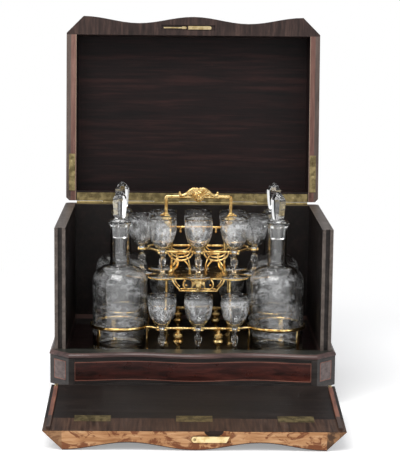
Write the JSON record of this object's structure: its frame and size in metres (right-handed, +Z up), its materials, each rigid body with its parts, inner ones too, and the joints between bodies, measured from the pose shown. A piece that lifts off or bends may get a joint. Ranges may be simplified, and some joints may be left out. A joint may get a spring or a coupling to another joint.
{
  "type": "liqueur box",
  "caption": "Serpentine-fronted wooden liqueur box with a lift-up lid, a drop front and a gilt carrying frame of stoppered decanters and stemmed glasses.",
  "frame": {"origin": "centre of the case's underside, on the table", "axes": "+X to the viewer's right, -Y towards the viewer and the fallen front panel, +Z up"},
  "size_m": [0.342, 0.5042, 0.4534],
  "materials": {
    "ebonised_wood": "dark stained, satin polish",
    "rosewood": "satin polish",
    "red_wood": "satin polish",
    "panel_wood": "dark polish with raw edges",
    "gilt": "gilt",
    "aged_brass": "aged",
    "bright_brass": "rubbed bright",
    "crystal": "clear, polished, with wheel engraving"
  },
  "bodies": {
    "case": {"base_board": "ebonised_wood", "plinth": "ebonised_wood", "plinth_bead": "red_wood", "floor_board": "rosewood", "left_wall": "ebonised_wood", "right_wall": "ebonised_wood", "rear_wall": "ebonised_wood", "hinge_body_leaf": "aged_brass", "hinge_pin": "aged_brass"},
    "lid": {"lid_top": "rosewood", "lid_sides": "ebonised_wood", "lid_rear": "ebonised_wood", "lid_front": "ebonised_wood", "lid_strike": "bright_brass", "lid_corner_plates": "aged_brass", "hinge_lid_leaf": "aged_brass"},
    "panel": {"front_panel": "panel_wood", "panel_tongues": "red_wood", "panel_plates": "aged_brass", "panel_pins": "bright_brass", "lever_screw": "bright_brass"},
    "lever": {"latch_lever": "bright_brass"},
    "caddy": {"lower_tray": "gilt", "ring_front_left": "gilt", "ring_front_right": "gilt", "ring_rear_left": "gilt", "ring_rear_right": "gilt", "front_rail": "gilt", "rear_rail": "gilt", "rail_feet": "gilt", "tower_posts": "gilt", "upper_tray": "gilt", "tray_apron": "gilt", "upper_gallery": "gilt", "handle_arch": "gilt", "handle": "gilt", "handle_ornament": "gilt"},
    "decanter_body_1": {"decanter_1": "crystal"},
    "stopper_body_1": {"stopper_1": "crystal"},
    "decanter_body_2": {"decanter_2": "crystal"},
    "stopper_body_2": {"stopper_2": "crystal"},
    "decanter_body_3": {"decanter_3": "crystal"},
    "stopper_body_3": {"stopper_3": "crystal"},
    "decanter_body_4": {"decanter_4": "crystal"},
    "stopper_body_4": {"stopper_4": "crystal"},
    "lower_glass_body_1": {"lower_glass_1": "crystal"},
    "lower_glass_body_2": {"lower_glass_2": "crystal"},
    "lower_glass_body_3": {"lower_glass_3": "crystal"},
    "lower_glass_body_4": {"lower_glass_4": "crystal"},
    "lower_glass_body_5": {"lower_glass_5": "crystal"},
    "lower_glass_body_6": {"lower_glass_6": "crystal"},
    "upper_glass_body_1": {"upper_glass_1": "crystal"},
    "upper_glass_body_2": {"upper_glass_2": "crystal"},
    "upper_glass_body_3": {"upper_glass_3": "crystal"},
    "upper_glass_body_4": {"upper_glass_4": "crystal"},
    "upper_glass_body_5": {"upper_glass_5": "crystal"},
    "upper_glass_body_6": {"upper_glass_6": "crystal"},
    "upper_glass_body_7": {"upper_glass_7": "crystal"},
    "upper_glass_body_8": {"upper_glass_8": "crystal"}
  },
  "joints": [
    {"name": "lid_hinge", "type": "hinge", "parent": "case", "child": "lid", "pos_m": [0, 0.1222, 0.21225], "axis": [-1, 0, 0], "range_deg": [-95.25, 0]},
    {"name": "panel_turn", "type": "hinge", "parent": "case", "child": "panel", "pos_m": [0, -0.114, 0.026], "axis": [1, 0, 0], "range_deg": [-96, 0]},
    {"name": "lever_pivot", "type": "hinge", "parent": "panel", "child": "lever", "pos_m": [0, -0.29773, 0.01282], "axis": [0, -0.9945, -0.1045], "range_deg": [0, 16]},
    {"name": "caddy_lift", "type": "slide", "parent": "case", "child": "caddy", "axis": [0, 0, 1], "range_m": [0, 0.17]},
    {"name": "decanter_lift_1", "type": "slide", "parent": "caddy", "child": "decanter_body_1", "axis": [0, 0, 1], "range_m": [0, 0.205]},
    {"name": "stopper_lift_1", "type": "slide", "parent": "decanter_body_1", "child": "stopper_body_1", "axis": [0, 0, 1], "range_m": [0, 0.03]},
    {"name": "decanter_lift_2", "type": "slide", "parent": "caddy", "child": "decanter_body_2", "axis": [0, 0, 1], "range_m": [0, 0.205]},
    {"name": "stopper_lift_2", "type": "slide", "parent": "decanter_body_2", "child": "stopper_body_2", "axis": [0, 0, 1], "range_m": [0, 0.03]},
    {"name": "decanter_lift_3", "type": "slide", "parent": "caddy", "child": "decanter_body_3", "axis": [0, 0, 1], "range_m": [0, 0.205]},
    {"name": "stopper_lift_3", "type": "slide", "parent": "decanter_body_3", "child": "stopper_body_3", "axis": [0, 0, 1], "range_m": [0, 0.03]},
    {"name": "decanter_lift_4", "type": "slide", "parent": "caddy", "child": "decanter_body_4", "axis": [0, 0, 1], "range_m": [0, 0.205]},
    {"name": "stopper_lift_4", "type": "slide", "parent": "decanter_body_4", "child": "stopper_body_4", "axis": [0, 0, 1], "range_m": [0, 0.03]},
    {"name": "lower_glass_lift_1", "type": "slide", "parent": "caddy", "child": "lower_glass_body_1", "axis": [0, -0.6112, 0.7915], "range_m": [0, 0.04]},
    {"name": "lower_glass_lift_2", "type": "slide", "parent": "caddy", "child": "lower_glass_body_2", "axis": [0, -0.6112, 0.7915], "range_m": [0, 0.04]},
    {"name": "lower_glass_lift_3", "type": "slide", "parent": "caddy", "child": "lower_glass_body_3", "axis": [0, -0.6112, 0.7915], "range_m": [0, 0.04]},
    {"name": "lower_glass_lift_4", "type": "slide", "parent": "caddy", "child": "lower_glass_body_4", "axis": [0, 0, 1], "range_m": [0, 0.2]},
    {"name": "lower_glass_lift_5", "type": "slide", "parent": "caddy", "child": "lower_glass_body_5", "axis": [0, 0, 1], "range_m": [0, 0.2]},
    {"name": "lower_glass_lift_6", "type": "slide", "parent": "caddy", "child": "lower_glass_body_6", "axis": [0, 0, 1], "range_m": [0, 0.2]},
    {"name": "upper_glass_lift_1", "type": "slide", "parent": "caddy", "child": "upper_glass_body_1", "axis": [0, -0.6112, 0.7915], "range_m": [0, 0.04]},
    {"name": "upper_glass_lift_2", "type": "slide", "parent": "caddy", "child": "upper_glass_body_2", "axis": [0, -0.6112, 0.7915], "range_m": [0, 0.04]},
    {"name": "upper_glass_lift_3", "type": "slide", "parent": "caddy", "child": "upper_glass_body_3", "axis": [0, -0.6112, 0.7915], "range_m": [0, 0.04]},
    {"name": "upper_glass_lift_4", "type": "slide", "parent": "caddy", "child": "upper_glass_body_4", "axis": [-0.6112, 0, 0.7915], "range_m": [0, 0.04]},
    {"name": "upper_glass_lift_5", "type": "slide", "parent": "caddy", "child": "upper_glass_body_5", "axis": [0.6112, 0, 0.7915], "range_m": [0, 0.04]},
    {"name": "upper_glass_lift_6", "type": "slide", "parent": "caddy", "child": "upper_glass_body_6", "axis": [0, 0.6112, 0.7915], "range_m": [0, 0.04]},
    {"name": "upper_glass_lift_7", "type": "slide", "parent": "caddy", "child": "upper_glass_body_7", "axis": [0, 0.6112, 0.7915], "range_m": [0, 0.04]},
    {"name": "upper_glass_lift_8", "type": "slide", "parent": "caddy", "child": "upper_glass_body_8", "axis": [0, 0.6112, 0.7915], "range_m": [0, 0.04]}
  ]
}
